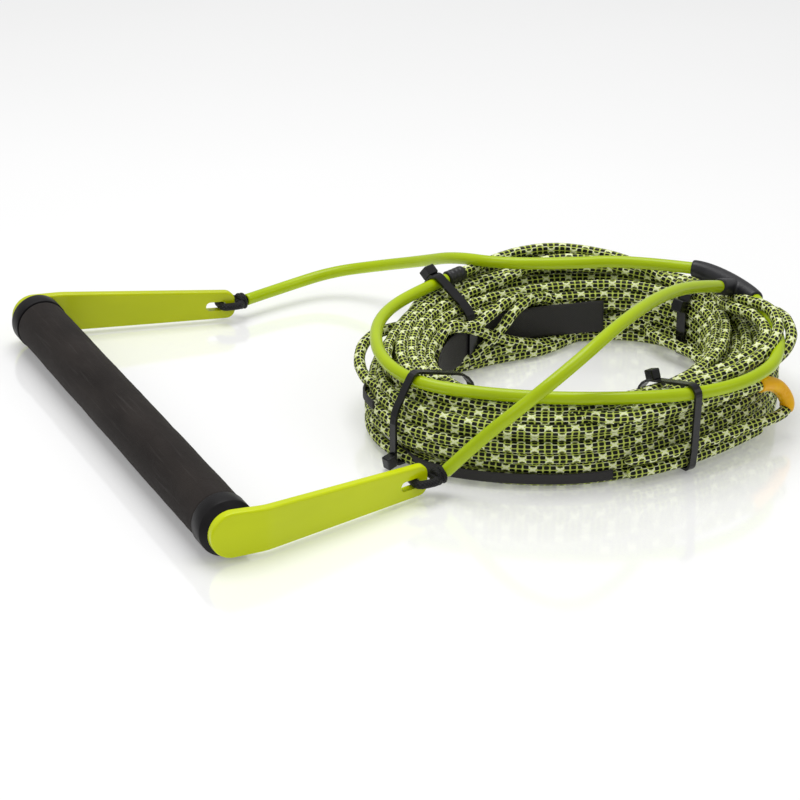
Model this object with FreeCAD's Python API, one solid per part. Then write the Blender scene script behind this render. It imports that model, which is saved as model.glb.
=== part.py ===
"""Wakeboard tow handle with its bridle, leader and a tied coil of main line.

A foam-sleeved bar has a moulded arm at each end. Each arm hangs on a rope
lashing, and the two bridle legs run to a yoke, then one leader, then the line.
Frame: mm, +Z up, +Y along the bar, +X from the bar towards the yoke. The
origin is under the middle of the handle, on the surface that it lies on.
"""
import FreeCAD, Part
import math
import os

V = FreeCAD.Vector
os.makedirs("parts", exist_ok=True)

# ---- driving dimensions, in mm ----------------------------------------------
CLEAR = 0.1                # radial room between pieces that are pressed or slid together
GAP = 0.3                  # room between pieces that only lie against each other
JOIN = 1.0                 # how far shapes overlap before they are fused or cut

HANDLE_WIDTH = 318.0       # over the outer faces of the two arms
TUBE_DIA = 23.0
TUBE_WALL = 1.5
GRIP_DIA = 30.0
COLLAR_DIA = 31.0
COLLAR_LENGTH = 14.0
COLLAR_CHAMFER = 3.5
SPIGOT_LENGTH = 30.0       # how far an arm's spigot goes into the tube
SPIGOT_CHAMFER = 1.0
PIN_DIA = 4.0
PIN_INSET = 18.0           # from the tube's end to the retaining pin

ARM_LENGTH = 119.0         # bar axis to the flat of the tip
ARM_THICKNESS = 6.0
ARM_TIP_THICKNESS = 5.2
ARM_ROOT_DIA = 25.0
ARM_TIP_WIDTH = 17.0
ARM_TIP_CORNER = 5.5
ARM_EDGE = 1.3             # rounding of the arm's long edges
ARM_TOE_IN = 24.0          # how far a tip stands in from its root
ARM_BEND_AT = 18.0         # bar axis to the bend
ARM_BEND_RADIUS = 30.0
TIP_HEIGHT = 10.8          # slot centre above the surface
WEB_END = 8.2              # swing axis to the flat of the tip
SLOT_WIDTH = 5.6
SLOT_RUN = 6.5             # slot length between its end centres

CORE_DIA = 4.6             # black core rope and lashings
JACKET_DIA = 7.0           # green sheath over the bridle and leader
ROPE_DIA = 7.0             # braided main line

LASH_CORNER = 3.2          # bend radius of a lashing's corners
LASH_OUT = 5.9             # swing axis plane to a lashing's outer run
LASH_IN = 7.6              # and to its inner run, past the tilted tip
LASH_LEAN = 1.6            # the inner run's slant along the arm

COIL_X = 187.0
COIL_Y = -63.0
COIL_WALLS = [              # inner and outer radius every 20 degrees from bearing -180
    (72, 121), (72, 121), (73, 113), (74, 107), (71, 102), (69, 99),
    (69, 104), (72, 116), (79, 124), (92, 128), (102, 130), (97, 127),
    (83, 125), (76, 119), (72, 110), (70, 104), (70, 103), (71, 110),
]
COIL_SECTIONS = 24         # sections that the coil's solid is lofted through
COIL_HEIGHT = 43.0
COIL_TOP_ROUND = 17.0      # at most; less where the coil is narrow
COIL_BOTTOM_ROUND = 8.0
FOOT_CUT = 0.3           # cut off its foot, so that it stands on a true flat

YOKE_MOUTH_R = 4.9
YOKE_BODY_R = 6.2
YOKE_FORK_R = 5.4          # the near leg's branch, where it joins the body
YOKE_SOCKET = 7.0          # how far each cord goes in
YOKE_KNEE = 14.0           # from a leg's end to where its branch meets the body
YOKE_BEND = 7.0            # from the far leg's end to where the body bends

WHIP_LENGTH = 14.0
WHIP_DIA = 9.0

SLEEVE_WALL = 0.8          # yellow sleeve on the boat end's loop
LOOP_FOLD_R = 8.5          # tight folds at the sleeve's two ends

TIE_THICKNESS = 1.4
TIES = [                   # node, bearing round the coil, bearing of its head in the band, width
    ("cable_tie_front_left", -165, -12, 4.6), ("cable_tie_front_right", -80, 112, 4.6),
    ("cable_tie_back_left", 112, 40, 6.6), ("cable_tie_back_right", 16, 160, 6.6),
]
TIE_CORNER = 2.0           # the band's bend where it turns under the coil
TIE_LIFT = 1.8             # how far a tie presses up into the coil's underside
TIE_HEAD = (7.0, 0.5, 4.5)  # along the band, beyond each of its edges, and its height
TIE_HEAD_ROUND = 0.8
TIE_ROOM = 0.9             # between a tie and the strap or a cord, which it meets at a slant

STRAP_THICKNESS = 1.3
STRAP_GAP = 0.6            # from the coil's walls
STRAP_LOW = 8.0
STRAP_HIGH = 28.4
STRAP_TAIL_LOW = 3.2
STRAP_TAIL_HIGH = 9.0
STRAP_LINK_WIDTH = 21.0
STRAP_DROP = 4.0           # length of the square turn down to the link
STRAP_INNER_ARC = (46.0, 180.0)    # degrees round the coil
STRAP_OUTER_ARC = (180.0, 256.0)

# ---- places worked out from them ---------------------------------------------
COLLAR_R = COLLAR_DIA / 2
GRIP_X = -(ARM_LENGTH - COLLAR_R) / 2
GRIP_Z = COLLAR_R
TIP_X = GRIP_X + ARM_LENGTH
SWING_X = TIP_X - WEB_END
SWING_Z = TIP_HEIGHT
ROOT_Y = HANDLE_WIDTH / 2
TUBE_HALF = ROOT_Y - ARM_THICKNESS
BORE_R = TUBE_DIA / 2 - TUBE_WALL
TOE_SLOPE = ARM_TOE_IN / (ARM_LENGTH - ARM_BEND_AT)
SWING_Y = ROOT_Y - ARM_THICKNESS / 2 - TOE_SLOPE * (SWING_X - GRIP_X - ARM_BEND_AT)
TIP_SWEEP_R = ARM_TIP_CORNER + math.hypot(WEB_END - ARM_TIP_CORNER,
                                          ARM_TIP_WIDTH / 2 - ARM_TIP_CORNER)
LASH_END_X = SWING_X + TIP_SWEEP_R + GAP + CORE_DIA / 2
JACKET_R = JACKET_DIA / 2
ROPE_R = ROPE_DIA / 2
ON_TOP = COIL_HEIGHT + GAP + JACKET_R      # height of a cord's middle on the coil

ROUND_STEPS = 24           # facets of a tie's outline round each cord or corner
WALL_STEP = 4.0            # degrees between the corners of a strap on edge
LINE_SAMPLES = 900         # points that a cord's crossings are looked for between


def on_coil(degrees, radius, height):
    """A point by its bearing and distance from the coil's middle."""
    angle = math.radians(degrees)
    return V(COIL_X + radius * math.cos(angle), COIL_Y + radius * math.sin(angle), height)


# ---- routes of the cords, as points that their runs turn at --------------------
FAR_LEG = [
    V(76.0, 134.0, 10.8), V(106, 142, 11.5), V(138, 144, 15), V(162, 122, 23),
    V(173, 88, 36), V(176, 52, 51), V(190, 21, 55.5), V(224, 4, 55.5),
    V(260, -7, 55.5), V(294.5, -36, 54.0),
]
NEAR_LEG = [
    V(77.5, -134.3, 12.6), V(91, -146, 33), V(111, -160, 56), V(142, -158, 73),
    V(181, -136, 80), V(222, -107, 77), V(259, -83, 67.5), V(288.5, -68, 56.0),
]
LEADER = [
    V(301, -76, 52.0), on_coil(-23, 119, 49.0), on_coil(-44, 122, 45.5),
    on_coil(-60, 118, 45.5), on_coil(-76, 111, 46.3), on_coil(-93, 100.5, ON_TOP),
    on_coil(-111, 94.5, ON_TOP), on_coil(-129, 95, ON_TOP), on_coil(-147, 101, ON_TOP),
    on_coil(-162, 110.5, ON_TOP), on_coil(-178, 111.5, ON_TOP), on_coil(164, 107.5, ON_TOP),
    on_coil(144, 104.5, ON_TOP), on_coil(124, 98.5, ON_TOP + 0.7), on_coil(107, 95.5, ON_TOP + 1.3),
]
TOP_TURN = [
    on_coil(86, 108, ON_TOP), on_coil(76, 112.5, 49.5), on_coil(64, 115, 51.0),
    on_coil(51, 113, 49.5), on_coil(39, 111, ON_TOP),
]
BOAT_LOOP = [
    on_coil(-104, 104, 38.5), on_coil(-90, 104, 38.5), on_coil(-74, 105, 38.5),
    on_coil(-60, 112, 37.0), on_coil(-46, 121, 34.5), on_coil(-42, 130, 13.5),
    on_coil(-56, 116, 14.6), on_coil(-72, 107, 14.6), on_coil(-88, 107, 14.6),
    on_coil(-101, 106.5, 14.6),
]
LOOP_FOLDS = (4, 5)        # its points that fold tightly, at the sleeve's two ends
LOOP_TAIL = [
    on_coil(-49, 115, 6.9), on_coil(-60, 109.5, 6.9), on_coil(-74, 105.5, 6.9),
    on_coil(-88, 106, 6.9), on_coil(-100, 106.3, 6.9),
]


# ---- helpers ------------------------------------------------------------------
def export(shape, node):
    assert shape.isValid(), node
    shape.exportStep("parts/" + node + ".step")


def cord_edges(points, folds=None, name=""):
    """Straight runs joined by tangent arcs; folds gives a smaller radius at a point."""
    folds = folds or {}
    edges = []
    here = points[0]
    radii = []
    for i in range(1, len(points) - 1):
        back = (points[i - 1] - points[i])
        ahead = (points[i + 1] - points[i])
        run = min(back.Length, ahead.Length)
        back.normalize()
        ahead.normalize()
        half_turn = (math.pi - back.getAngle(ahead)) / 2
        radius = folds.get(i, 0.45 * run / math.tan(half_turn))
        reach = radius * math.tan(half_turn)
        first = points[i] + back * reach
        last = points[i] + ahead * reach
        inward = back + ahead
        inward.normalize()
        middle = points[i] + inward * (radius / math.cos(half_turn) - radius)
        edges.append(Part.LineSegment(here, first).toShape())
        edges.append(Part.Arc(first, middle, last).toShape())
        radii.append(radius)
        here = last
    edges.append(Part.LineSegment(here, points[-1]).toShape())
    if name:
        print(name, "radii", [round(r) for r in radii])
    return edges


def tube_along(edges, radius, name=""):
    """A round solid along joined edges."""
    path = Part.Wire(edges)
    start = edges[0].valueAt(edges[0].FirstParameter)
    ring = Part.Wire(Part.makeCircle(radius, start, edges[0].tangentAt(edges[0].FirstParameter)))
    solid = path.makePipeShell([ring], True, False)
    if name:
        share = solid.Volume / (math.pi * radius ** 2 * path.Length)
        print(name, "length", round(path.Length, 1), "volume share", round(share, 4))
    return solid


def rod(start, end, radius):
    return Part.makeCylinder(radius, (end - start).Length, start, end - start)


def across(radius, y_from, y_to):
    """A cylinder on the bar's axis."""
    return rod(V(GRIP_X, y_from, GRIP_Z), V(GRIP_X, y_to, GRIP_Z), radius)


def mirrored(shape):
    """The near side's copy of a piece made for the far side."""
    return shape.mirror(V(0, 0, 0), V(0, 1, 0))


# ---- the handle ----------------------------------------------------------------
def make_tube():
    tube = across(TUBE_DIA / 2, -TUBE_HALF, TUBE_HALF).cut(across(BORE_R, -TUBE_HALF, TUBE_HALF))
    for side in (-1, 1):
        tube = tube.cut(pin_line(side, PIN_DIA / 2 + CLEAR / 2))
    return tube


def pin_line(side, radius):
    """A cylinder right through the tube, where a retaining pin goes."""
    y = side * (TUBE_HALF - PIN_INSET)
    return rod(V(GRIP_X - TUBE_DIA, y, GRIP_Z), V(GRIP_X + TUBE_DIA, y, GRIP_Z), radius)


def make_pins():
    """Two steel pins through the tube and the spigots, trimmed to the tube's outside."""
    inside = across(TUBE_DIA / 2 - CLEAR, -TUBE_HALF, TUBE_HALF)
    pins = [pin_line(side, PIN_DIA / 2).common(inside) for side in (-1, 1)]
    return Part.makeCompound([pin.Solids[0] for pin in pins])


def make_core():
    half = TUBE_HALF - SPIGOT_LENGTH - 1.0
    return across(BORE_R - 2 * CLEAR, -half, half)


def make_collar():
    """End ring on the far side, with its outer rim chamfered."""
    inner_y = TUBE_HALF - COLLAR_LENGTH
    body = across(COLLAR_R, inner_y, TUBE_HALF - COLLAR_CHAMFER)
    rim = Part.makeCone(COLLAR_R, COLLAR_R - COLLAR_CHAMFER, COLLAR_CHAMFER,
                        V(GRIP_X, TUBE_HALF - COLLAR_CHAMFER, GRIP_Z), V(0, 1, 0))
    return body.fuse(rim).removeSplitter().cut(across(TUBE_DIA / 2 + CLEAR, inner_y, TUBE_HALF))


def make_grip():
    half = TUBE_HALF - COLLAR_LENGTH - CLEAR
    return across(GRIP_DIA / 2, -half, half).cut(across(TUBE_DIA / 2 + CLEAR, -half, half))


def arm_plan():
    """The arm's shape from above, as a prism: bent once, and thinner at the tip."""
    back_x = GRIP_X - ARM_ROOT_DIA
    bend_x = GRIP_X + ARM_BEND_AT
    end_x = TIP_X + WEB_END
    slope_end = TOE_SLOPE * (end_x - bend_x)
    thin = ARM_THICKNESS - ARM_TIP_THICKNESS
    corners = [
        V(back_x, TUBE_HALF, 0), V(back_x, ROOT_Y, 0), V(bend_x, ROOT_Y, 0),
        V(end_x, ROOT_Y - slope_end - thin / 2, 0), V(end_x, TUBE_HALF - slope_end + thin / 2, 0),
        V(bend_x, TUBE_HALF, 0),
    ]
    plan = Part.Face(Part.makePolygon(corners + corners[:1]))
    prism = plan.extrude(V(0, 0, 2 * COLLAR_DIA))
    bends = [e for e in prism.Edges if abs(e.CenterOfMass.x - bend_x) < 1e-6 and e.Length > COLLAR_DIA]
    return prism.makeFillet(ARM_BEND_RADIUS, bends)


def arm_side():
    """The arm's outline from the side: a round root, straight edges and a cornered tip."""
    root_r = ARM_ROOT_DIA / 2
    tip_half = ARM_TIP_WIDTH / 2
    root = V(GRIP_X, 0, GRIP_Z)
    top_tip = V(TIP_X, 0, SWING_Z + tip_half)
    low_tip = V(TIP_X, 0, SWING_Z - tip_half)

    def tangent(corner, side):
        """Where a line from the corner touches the root's circle."""
        away = corner - root
        turn = side * math.acos(root_r / away.Length)
        bearing = math.atan2(away.z, away.x) + turn
        return root + V(root_r * math.cos(bearing), 0, root_r * math.sin(bearing))

    top_root = tangent(top_tip, 1)
    low_root = tangent(low_tip, -1)
    outline = Part.Wire([
        Part.LineSegment(top_root, top_tip).toShape(),
        Part.LineSegment(top_tip, low_tip).toShape(),
        Part.LineSegment(low_tip, low_root).toShape(),
        Part.Arc(low_root, root - V(root_r, 0, 0), top_root).toShape(),
    ])
    prism = Part.Face(outline).extrude(V(0, HANDLE_WIDTH, 0))
    corners = [e for e in prism.Edges
               if abs(e.CenterOfMass.x - TIP_X) < 1e-6 and abs(e.Length - HANDLE_WIDTH) < 1e-6]
    return prism.makeFillet(ARM_TIP_CORNER, corners)


def make_arm():
    """The far arm: a blade on edge with a lashing slot, and a spigot for the tube."""
    blade = arm_side().common(arm_plan())
    rims = [e for e in blade.Edges if not on_bend_line(e)]
    blade = blade.makeFillet(ARM_EDGE, rims)
    slot_r = SLOT_WIDTH / 2
    near_y, far_y = ROOT_Y - 2 * ARM_TOE_IN, ROOT_Y
    ends = [rod(V(x, near_y, SWING_Z), V(x, far_y, SWING_Z), slot_r) for x in (SWING_X, SWING_X - SLOT_RUN)]
    middle = Part.makeBox(SLOT_RUN, far_y - near_y, SLOT_WIDTH,
                          V(SWING_X - SLOT_RUN, near_y, SWING_Z - slot_r))
    blade = blade.cut(ends[0].fuse(ends[1]).fuse(middle))
    spigot = across(BORE_R - CLEAR, TUBE_HALF - SPIGOT_LENGTH, TUBE_HALF + CLEAR)
    tip = [e for e in spigot.Edges if abs(e.CenterOfMass.y - (TUBE_HALF - SPIGOT_LENGTH)) < 1e-6]
    spigot = spigot.makeChamfer(SPIGOT_CHAMFER, tip)
    return blade.fuse(spigot).cut(pin_line(1, PIN_DIA / 2 + CLEAR / 2))


def on_bend_line(edge):
    """True for the upright edges where a bend's arc meets the flat faces."""
    ends = [v.Point for v in edge.Vertexes]
    return len(ends) == 2 and abs(ends[0].x - ends[1].x) < 1e-3 and abs(ends[0].y - ends[1].y) < 1e-3 \
        and abs(edge.CenterOfMass.x - TIP_X) > ARM_TIP_CORNER


# ---- lashings, legs, yoke and leader ---------------------------------------------
def make_lashing():
    """The far side's loop of core rope: through the slot and round past the tip."""
    corners = [
        V(SWING_X, SWING_Y + LASH_OUT, SWING_Z),
        V(LASH_END_X, SWING_Y + LASH_OUT, SWING_Z),
        V(LASH_END_X, SWING_Y - LASH_IN, SWING_Z),
        V(SWING_X, SWING_Y - LASH_IN + LASH_LEAN, SWING_Z),
    ]
    middle = (corners[3] + corners[0]) * 0.5
    route = [middle] + corners + [middle]
    folds = {i: LASH_CORNER for i in range(1, 5)}
    return tube_along(cord_edges(route, folds), CORE_DIA / 2)


def jacket(points, name):
    """A sheath over its core rope, with the same route."""
    edges = cord_edges(points, name=name)
    sheath = tube_along(edges, JACKET_R, name).cut(tube_along(edges, CORE_DIA / 2 + CLEAR))
    return sheath, tube_along(edges, CORE_DIA / 2)


def heading(start, end):
    line = end - start
    line.normalize()
    return line


def make_yoke():
    """Moulded sleeve: the legs come in at its back and its side, and the leader leaves in front.

    Each cord ends inside its own socket, so the sleeve's mouths stand out past the ends.
    """
    back_way = heading(FAR_LEG[-2], FAR_LEG[-1])
    side_way = heading(NEAR_LEG[-2], NEAR_LEG[-1])
    front_way = heading(LEADER[0], LEADER[1])
    back = FAR_LEG[-1] - back_way * YOKE_SOCKET
    side = NEAR_LEG[-1] - side_way * YOKE_SOCKET
    front = LEADER[0] + front_way * YOKE_SOCKET
    knee = FAR_LEG[-1] + back_way * YOKE_BEND
    fork = NEAR_LEG[-1] + side_way * YOKE_KNEE
    bend = Part.makeSphere(YOKE_BODY_R + GAP, knee)
    limbs = [
        Part.makeCone(YOKE_MOUTH_R, YOKE_BODY_R, (knee - back).Length, back, knee - back),
        Part.makeCone(YOKE_BODY_R, YOKE_MOUTH_R, (front - knee).Length, knee, front - knee),
        Part.makeCone(YOKE_MOUTH_R, YOKE_FORK_R, (fork - side).Length, side, fork - side),
    ]
    body = bend.multiFuse(limbs)
    for end, way in ((FAR_LEG[-1], -back_way), (NEAR_LEG[-1], -side_way), (LEADER[0], front_way)):
        body = body.cut(rod(end, end + way * 2 * YOKE_SOCKET, JACKET_R + CLEAR))
    return body.Solids[0]


def make_whipping():
    """Tape whipping where the leader's core is spliced to the main line."""
    start = LEADER[-1]
    return Part.makeCylinder(WHIP_DIA / 2, WHIP_LENGTH, start, heading(LEADER[-2], LEADER[-1]))


# ---- the coil and what holds it ----------------------------------------------------
def coil_wall(side, degrees):
    """The coil's inner (0) or outer (1) radius on a bearing, as a smooth closed curve."""
    count = len(COIL_WALLS)
    place = (degrees + 180) / 360 * count
    first = math.floor(place)
    t = place - first
    a, b, c, d = (COIL_WALLS[(first + k) % count][side] for k in (-1, 0, 1, 2))
    return b + t * ((c - a) + t * ((2 * a - 5 * b + 4 * c - d) + t * (3 * b - a - 3 * c + d))) / 2


def coil_corners(degrees):
    """The section's inner and outer radius and its top rounding on a bearing."""
    low_r, high_r = coil_wall(0, degrees), coil_wall(1, degrees)
    return low_r, high_r, min(COIL_TOP_ROUND, (high_r - low_r) / 2 - JOIN)


def coil_section(degrees):
    """The coil's rounded section on a bearing, as a wire."""
    low_r, high_r, top = coil_corners(degrees)
    corners = [
        (low_r, -FOOT_CUT, 1, 1, COIL_BOTTOM_ROUND), (high_r, -FOOT_CUT, -1, 1, COIL_BOTTOM_ROUND),
        (high_r, COIL_HEIGHT, -1, -1, top), (low_r, COIL_HEIGHT, 1, -1, top),
    ]
    edges = []
    ends = []
    for index, (r, z, in_r, in_z, radius) in enumerate(corners):
        beside = V(r, 0, z + in_z * radius)
        level = V(r + in_r * radius, 0, z)
        lean = radius * (1 - math.sqrt(0.5))
        middle = V(r + in_r * lean, 0, z + in_z * lean)
        first, last = (beside, level) if index % 2 == 0 else (level, beside)
        edges.append(Part.Arc(first, middle, last).toShape())
        ends.append((first, last))
    for (_, last), (first, _) in zip(ends, ends[1:] + ends[:1]):
        edges.append(Part.LineSegment(last, first).toShape())
    return placed(Part.Wire(Part.__sortEdges__(edges)), degrees)


def placed(shape, degrees=0.0):
    """Turns a piece made on bearing 0 to its bearing, round the coil's middle."""
    moved = shape.copy()
    moved.rotate(V(0, 0, 0), V(0, 0, 1), degrees)
    moved.translate(V(COIL_X, COIL_Y, 0))
    return moved


def make_coil(cutters):
    sections = [coil_section(360 * k / COIL_SECTIONS) for k in range(COIL_SECTIONS)]
    coil = Part.makeLoft(sections, True, False, True)
    below = Part.makeBox(400, 400, 10, V(COIL_X - 200, COIL_Y - 200, -10))
    for cutter in [below] + list(cutters):
        coil = coil.cut(cutter)
    return coil.Solids[0]


def crossings(edges, degrees):
    """Where a cord's middle line crosses a bearing, as (radius, height) pairs."""
    line = Part.Wire(edges).discretize(Number=LINE_SAMPLES)
    angle = math.radians(degrees)
    along = V(math.cos(angle), math.sin(angle), 0)
    beside = V(-math.sin(angle), math.cos(angle), 0)
    centre = V(COIL_X, COIL_Y, 0)
    found = []
    for a, b in zip(line, line[1:]):
        side_a, side_b = (a - centre).dot(beside), (b - centre).dot(beside)
        if side_a * side_b <= 0 and side_a != side_b and (a - centre).dot(along) > 0:
            share = side_a / (side_a - side_b)
            p = a + (b - a) * share
            found.append(((p - centre).dot(along), p.z))
    return found


def outline_points(degrees, cords, extra):
    """The coil's section and the cords on it, grown by extra, as points round them."""
    low_r, high_r, top = coil_corners(degrees)
    low_r -= STRAP_GAP + STRAP_THICKNESS + TIE_ROOM
    high_r += STRAP_GAP + STRAP_THICKNESS + TIE_ROOM
    low_z = TIE_LIFT + TIE_THICKNESS + TIE_CORNER
    corners = [
        (low_r + TIE_CORNER, low_z, TIE_CORNER), (high_r - TIE_CORNER, low_z, TIE_CORNER),
        (high_r - top, COIL_HEIGHT + GAP - top, top), (low_r + top, COIL_HEIGHT + GAP - top, top),
    ]
    corners += [(r, z, JACKET_R + TIE_ROOM) for r, z in cords]
    points = []
    for r, z, radius in corners:
        for step in range(ROUND_STEPS):
            angle = 2 * math.pi * step / ROUND_STEPS
            points.append((r + (radius + extra) * math.cos(angle),
                           max(z + (radius + extra) * math.sin(angle), TIE_LIFT + TIE_THICKNESS - extra)))
    return points


def hull(points):
    """Convex outline of points in the plane: a tie is pulled tight, so it spans hollows."""
    points = sorted(set(points))

    def chain(row):
        out = []
        for p in row:
            while len(out) > 1 and ((out[-1][0] - out[-2][0]) * (p[1] - out[-2][1])
                                    - (out[-1][1] - out[-2][1]) * (p[0] - out[-2][0])) <= 1e-3:
                out.pop()
            out.append(p)
        return out[:-1]

    return chain(points) + chain(points[::-1])


def band(degrees, cords, inner, outer, width):
    """A closed band round the coil's section, between two offsets, made on bearing 0."""
    faces = []
    for extra in (outer, inner):
        rim = [V(r, -width / 2, z) for r, z in hull(outline_points(degrees, cords, extra))]
        faces.append(Part.Face(Part.makePolygon(rim + rim[:1])))
    return faces[0].extrude(V(0, width, 0)).cut(faces[1].extrude(V(0, width, 0)))


def make_tie(degrees, cords, head_at, width):
    """A cable tie and its head; head_at is the head's bearing in the band's own plane."""
    tie = band(degrees, cords, 0.0, TIE_THICKNESS, width)
    rim = hull(outline_points(degrees, cords, TIE_THICKNESS))
    low_r, high_r, _ = coil_corners(degrees)
    middle = ((low_r + high_r) / 2, COIL_HEIGHT / 2)
    turn = math.radians(head_at)
    spot = max(rim, key=lambda p: (p[0] - middle[0]) * math.cos(turn) + (p[1] - middle[1]) * math.sin(turn))
    long_side, rim_each_side, tall = TIE_HEAD
    wide = width + 2 * rim_each_side
    block = Part.makeBox(long_side, wide, tall + TIE_THICKNESS,
                         V(-long_side / 2, -wide / 2, -TIE_THICKNESS / 2))
    block = block.makeFillet(TIE_HEAD_ROUND, block.Edges)
    block.rotate(V(0, 0, 0), V(0, 1, 0), 90 - head_at)
    block.translate(V(spot[0], 0, max(spot[1], long_side / 2 + TIE_LIFT)))
    inside = band(degrees, cords, -(high_r - low_r) / 3, 0.0, wide + 2 * JOIN)
    head = block.cut(inside)
    return placed(tie.fuse(head.Solids[0]).removeSplitter(), degrees)


def make_tie_groove(degrees, cords, width):
    """What a tie presses out of the coil."""
    return placed(band(degrees, cords, -GAP, TIE_THICKNESS + GAP, width + 2 * GAP), degrees)


def strap_on_wall(side, low_z, high_z, arc):
    """A stretch of strap on edge along the coil's inner (0) or outer (1) wall."""
    out = 1 if side else -1
    count = round((arc[1] - arc[0]) / WALL_STEP) + 1
    bearings = [arc[0] + (arc[1] - arc[0]) * k / (count - 1) for k in range(count)]
    near, far = ([on_coil(b, coil_wall(side, b) + out * away, low_z) for b in bearings]
                 for away in (STRAP_GAP, STRAP_GAP + STRAP_THICKNESS))
    outline = Part.makePolygon(near + far[::-1] + near[:1])
    return Part.Face(outline).extrude(V(0, 0, high_z - low_z))


def make_strap():
    """Keeper strap: along the inner wall, under the coil and along the outer wall."""
    bearing = STRAP_INNER_ARC[1]
    inner_r = coil_wall(0, bearing) - STRAP_GAP - STRAP_THICKNESS
    outer_r = coil_wall(1, bearing) + STRAP_GAP
    turns = [math.degrees(STRAP_LINK_WIDTH / r) for r in (inner_r, outer_r)]
    width = outer_r + STRAP_THICKNESS - inner_r
    link = placed(Part.makeBox(width, STRAP_LINK_WIDTH, STRAP_THICKNESS, V(inner_r, 0, CLEAR)), bearing)
    drop = placed(Part.makeBox(STRAP_THICKNESS, STRAP_DROP, STRAP_LOW + JOIN - CLEAR,
                               V(inner_r, 0, CLEAR)), bearing)
    strap = strap_on_wall(0, STRAP_LOW, STRAP_HIGH, STRAP_INNER_ARC)
    for piece in (
            strap_on_wall(0, CLEAR, STRAP_LOW + JOIN, (bearing - turns[0] / 2, bearing)),
            drop, link,
            strap_on_wall(1, CLEAR, STRAP_TAIL_LOW + JOIN, (bearing, bearing + turns[1])),
            strap_on_wall(1, STRAP_TAIL_LOW, STRAP_TAIL_HIGH, STRAP_OUTER_ARC)):
        strap = strap.fuse(piece)
    return strap.removeSplitter()


def make_strap_groove():
    """Room for the strap's link in the coil's underside."""
    bearing = STRAP_INNER_ARC[1]
    inner_r = coil_wall(0, bearing) - STRAP_GAP - STRAP_THICKNESS
    outer_r = coil_wall(1, bearing) + STRAP_GAP + STRAP_THICKNESS
    thick = CLEAR + STRAP_THICKNESS + GAP
    groove = Part.makeBox(outer_r - inner_r, STRAP_LINK_WIDTH + 2 * GAP, thick + JOIN,
                          V(inner_r, -GAP, -JOIN))
    return placed(groove, bearing)


# ---- build -----------------------------------------------------------------------
def main():
    export(make_tube(), "core_tube")
    export(make_core(), "flotation_core")
    export(make_pins(), "retaining_pins")
    export(make_grip(), "grip")
    far_collar = make_collar()
    export(far_collar, "collar_far")
    export(mirrored(far_collar), "collar_near")
    far_arm = make_arm()
    export(far_arm, "arm_far")
    export(mirrored(far_arm), "arm_near")

    far_lashing = make_lashing()
    export(far_lashing, "lashing_far")
    export(mirrored(far_lashing), "lashing_near")
    for route, sheath_node, core_node in (
            (FAR_LEG, "leg_jacket_far", "leg_core_far"),
            (NEAR_LEG, "leg_jacket_near", "leg_core_near"),
            (LEADER, "leader_jacket", "leader_core")):
        sheath, core = jacket(route, sheath_node)
        export(sheath, sheath_node)
        export(core, core_node)
    export(make_yoke(), "yoke")
    export(make_whipping(), "leader_whipping")

    top_turn = cord_edges(TOP_TURN, name="main_line_top_turn")
    export(tube_along(top_turn, ROPE_R, "main_line_top_turn"), "main_line_top_turn")
    loop = cord_edges(BOAT_LOOP, {i: LOOP_FOLD_R for i in LOOP_FOLDS}, "boat_loop")
    export(tube_along(loop, ROPE_R, "boat_loop"), "boat_loop")
    fold = loop[2 * LOOP_FOLDS[0] - 1:2 * LOOP_FOLDS[1]]
    sleeve = tube_along(fold, ROPE_R + CLEAR + SLEEVE_WALL).cut(tube_along(fold, ROPE_R + CLEAR))
    export(sleeve, "boat_loop_sleeve")
    tail = cord_edges(LOOP_TAIL, name="boat_loop_tail")
    export(tube_along(tail, ROPE_R, "boat_loop_tail"), "boat_loop_tail")

    leader = cord_edges(LEADER)
    grooves = [make_strap_groove()]
    for node, bearing, head_at, width in TIES:
        cords = [spot for path in (leader, loop, tail) for spot in crossings(path, bearing)
                 if spot[1] < ON_TOP + 2]
        export(make_tie(bearing, cords, head_at, width), node)
        grooves.append(make_tie_groove(bearing, cords, width))
    export(make_strap(), "keeper_strap")
    export(make_coil(grooves), "main_line_coil")


main()
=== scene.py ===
"""A wakeboard tow handle with its bridle, leader and tied line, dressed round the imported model.

The sections follow the object as it is put together: the bar, the arms, the
lashings, the sheathed legs and leader, then the line, its ties and its strap.
"""

import math

import bmesh
import bpy
import numpy as np
from mathutils import Matrix, Vector, noise


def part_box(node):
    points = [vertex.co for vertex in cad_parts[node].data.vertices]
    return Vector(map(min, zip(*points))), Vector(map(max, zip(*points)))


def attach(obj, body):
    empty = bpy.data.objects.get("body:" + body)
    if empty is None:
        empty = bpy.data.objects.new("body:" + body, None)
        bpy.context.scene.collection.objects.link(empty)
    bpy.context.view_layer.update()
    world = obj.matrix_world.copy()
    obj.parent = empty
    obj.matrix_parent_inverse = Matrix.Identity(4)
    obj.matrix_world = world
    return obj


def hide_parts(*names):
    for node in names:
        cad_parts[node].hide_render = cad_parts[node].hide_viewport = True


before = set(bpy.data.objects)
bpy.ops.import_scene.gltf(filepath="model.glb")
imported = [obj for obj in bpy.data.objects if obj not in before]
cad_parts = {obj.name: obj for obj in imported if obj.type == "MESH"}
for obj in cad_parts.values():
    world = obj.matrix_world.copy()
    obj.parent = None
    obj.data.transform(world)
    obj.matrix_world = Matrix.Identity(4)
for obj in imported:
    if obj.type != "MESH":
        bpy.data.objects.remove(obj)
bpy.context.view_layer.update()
scene = bpy.context.scene


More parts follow.
